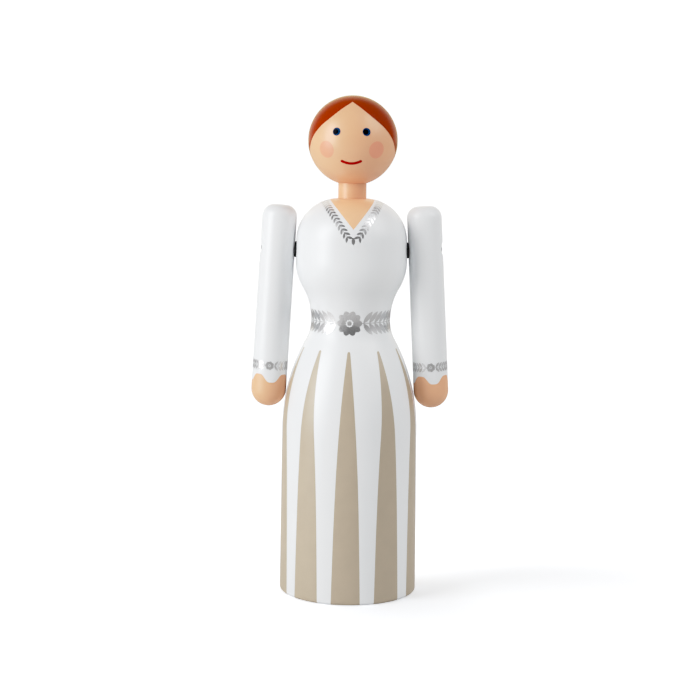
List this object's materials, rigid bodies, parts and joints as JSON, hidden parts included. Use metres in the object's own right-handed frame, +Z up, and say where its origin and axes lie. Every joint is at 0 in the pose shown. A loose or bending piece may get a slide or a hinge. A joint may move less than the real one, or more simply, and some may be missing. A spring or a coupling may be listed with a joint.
{
  "type": "wooden bride figure",
  "caption": "Turned wooden bride figure in a painted white dress, with a ball head that turns on a neck dowel and rod arms that swing on friction pivots.",
  "frame": {"origin": "middle of the flat base that the figure stands on", "axes": "+Z up through the head, -Y the way the face looks, +X towards the figure's own left arm"},
  "size_m": [0.0956, 0.0666, 0.2399],
  "materials": {
    "white_lacquer": "beech under satin-gloss white lacquer",
    "skin_lacquer": "beech under satin-gloss skin-coloured lacquer",
    "black_rubber": "matt black rubber",
    "dark_steel": "blackened steel",
    "insert_brass": "plain brass"
  },
  "bodies": {
    "body": {"body": "white_lacquer", "neck": "skin_lacquer", "left_arm_screw": "dark_steel", "right_arm_screw": "dark_steel", "left_threaded_insert": "insert_brass", "right_threaded_insert": "insert_brass"},
    "head": {"head": "skin_lacquer"},
    "left_arm": {"left_arm": "white_lacquer", "left_friction_washer": "black_rubber"},
    "right_arm": {"right_arm": "white_lacquer", "right_friction_washer": "black_rubber"}
  },
  "joints": [
    {"name": "left_arm_swing", "type": "hinge", "parent": "body", "child": "left_arm", "pos_m": [0.03551, 0, 0.16695], "axis": [-0.9984, 0, -0.0563], "continuous": true},
    {"name": "right_arm_swing", "type": "hinge", "parent": "body", "child": "right_arm", "pos_m": [-0.03551, 0, 0.16695], "axis": [-0.9984, 0, 0.0563], "continuous": true},
    {"name": "head_turn", "type": "hinge", "parent": "body", "child": "head", "pos_m": [0, 0, 0.21852], "axis": [0, 0, 1], "continuous": true}
  ]
}
